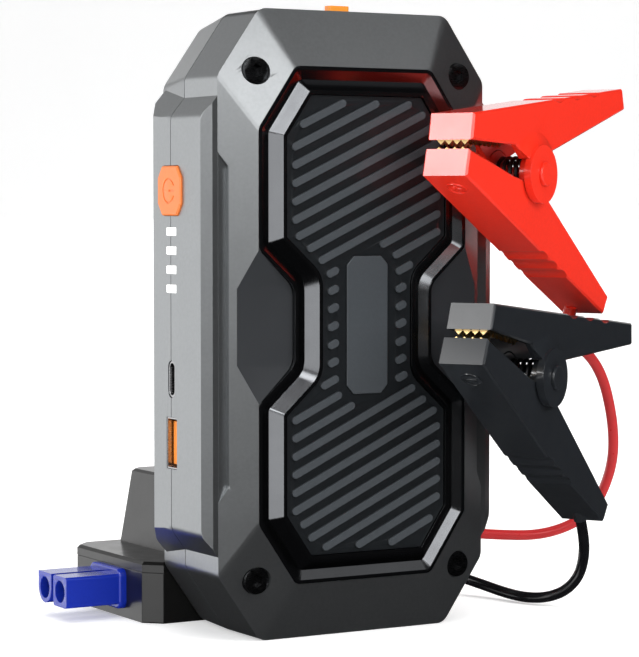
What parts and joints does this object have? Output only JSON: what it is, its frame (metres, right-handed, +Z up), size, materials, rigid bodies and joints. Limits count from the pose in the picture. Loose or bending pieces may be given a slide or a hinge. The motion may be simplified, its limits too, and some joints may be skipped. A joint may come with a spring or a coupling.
{
  "type": "jump starter pack",
  "caption": "Upright slab power pack with chamfered corners, ribbed front panel, side spines and a plug-in box with red and black clamps on cables.",
  "frame": {"origin": "middle of the pack's flat bottom face, on the standing surface", "axes": "+X to the pack's right, +Y to its back, +Z up; the ribbed panel faces -Y"},
  "size_m": [0.1674, 0.1269, 0.163],
  "materials": {
    "cover_paint": "satin gunmetal",
    "shell_paint": "satin gunmetal",
    "panel_plastic": "satin dark grey",
    "bezel_gloss": "gloss dark grey",
    "grip_plastic": "fine texture",
    "screw_steel": "black oxide",
    "button_plastic": "orange gloss",
    "light_plastic": "white diffuser",
    "port_steel": "bright",
    "tongue_plastic": "orange",
    "socket_plastic": "blue",
    "contact_brass": "gold plated",
    "flap_rubber": "orange",
    "cell_foil": "pouch foil",
    "foam": "open foam",
    "tray_plastic": "black",
    "board_green": "solder mask",
    "chip_black": "moulded",
    "heat_aluminium": "milled",
    "red_rubber": "satin",
    "black_rubber": "satin",
    "box_plastic": "satin charcoal",
    "plug_plastic": "blue gloss",
    "red_plastic": "satin red",
    "black_plastic": "satin black",
    "jaw_brass": "stamped",
    "spring_steel": "black"
  },
  "bodies": {
    "pack": {"front_cover": "cover_paint", "cover_screws": "screw_steel", "grip_insert_left": "grip_plastic", "grip_insert_right": "grip_plastic", "panel_bezel": "bezel_gloss", "ribbed_panel": "panel_plastic", "nameplate": "panel_plastic", "front_shell": "shell_paint", "rear_shell": "shell_paint", "charge_lights": "light_plastic", "usb_c_port": "port_steel", "usb_a_port": "port_steel", "usb_a_tongue": "tongue_plastic", "jump_socket": "socket_plastic", "jump_contacts": "contact_brass", "port_hinge_strap": "flap_rubber", "power_switch": "chip_black", "battery_cell_1": "cell_foil", "battery_cell_2": "cell_foil", "battery_cell_3": "cell_foil", "cell_tray": "tray_plastic", "cell_pads": "foam", "main_board": "board_green", "board_parts": "chip_black", "heat_spreader": "heat_aluminium", "positive_lead": "red_rubber", "negative_lead": "black_rubber"},
    "button": {"power_button": "button_plastic"},
    "port_flap": {"port_cover": "flap_rubber"},
    "clamp_set": {"box_base": "box_plastic", "box_cover": "box_plastic", "box_screws": "screw_steel", "box_board": "board_green", "box_relay": "chip_black", "ec5_plug": "plug_plastic", "plug_contacts": "contact_brass", "red_grommet": "black_rubber", "black_grommet": "black_rubber", "red_cable": "red_rubber", "black_cable": "black_rubber", "red_lower_arm": "red_plastic", "red_lower_jaw": "jaw_brass", "red_pin": "red_plastic", "red_spring": "spring_steel", "black_lower_arm": "black_plastic", "black_lower_jaw": "jaw_brass", "black_pin": "black_plastic", "black_spring": "spring_steel"},
    "red_upper": {"red_upper_arm": "red_plastic", "red_upper_jaw": "jaw_brass"},
    "black_upper": {"black_upper_arm": "black_plastic", "black_upper_jaw": "jaw_brass"}
  },
  "joints": [
    {"name": "power_button_press", "type": "slide", "parent": "pack", "child": "button", "axis": [1, 0, 0], "range_m": [0, 0.001], "stiffness_N_per_m": 600, "springref_m": -0.0008},
    {"name": "port_cover_hinge", "type": "hinge", "parent": "pack", "child": "port_flap", "pos_m": [0, 0.0088, 0.16135], "axis": [-1, 0, 0], "range_deg": [0, 110]},
    {"name": "clamp_set_slide", "type": "slide", "parent": "pack", "child": "clamp_set", "axis": [1, 0, 0], "range_m": [0, 0.1]},
    {"name": "red_jaw_hinge", "type": "hinge", "parent": "clamp_set", "child": "red_upper", "pos_m": [0.0439, -0.0234, 0.1193], "axis": [-0.4633, 0.8862, 0], "range_deg": [0, 28], "stiffness_Nm_per_rad": 0.4, "springref_deg": -28.65},
    {"name": "black_jaw_hinge", "type": "hinge", "parent": "clamp_set", "child": "black_upper", "pos_m": [0.0416, -0.0318, 0.0663], "axis": [-0.4985, 0.8669, 0], "range_deg": [0, 28], "stiffness_Nm_per_rad": 0.4, "springref_deg": -28.65}
  ]
}
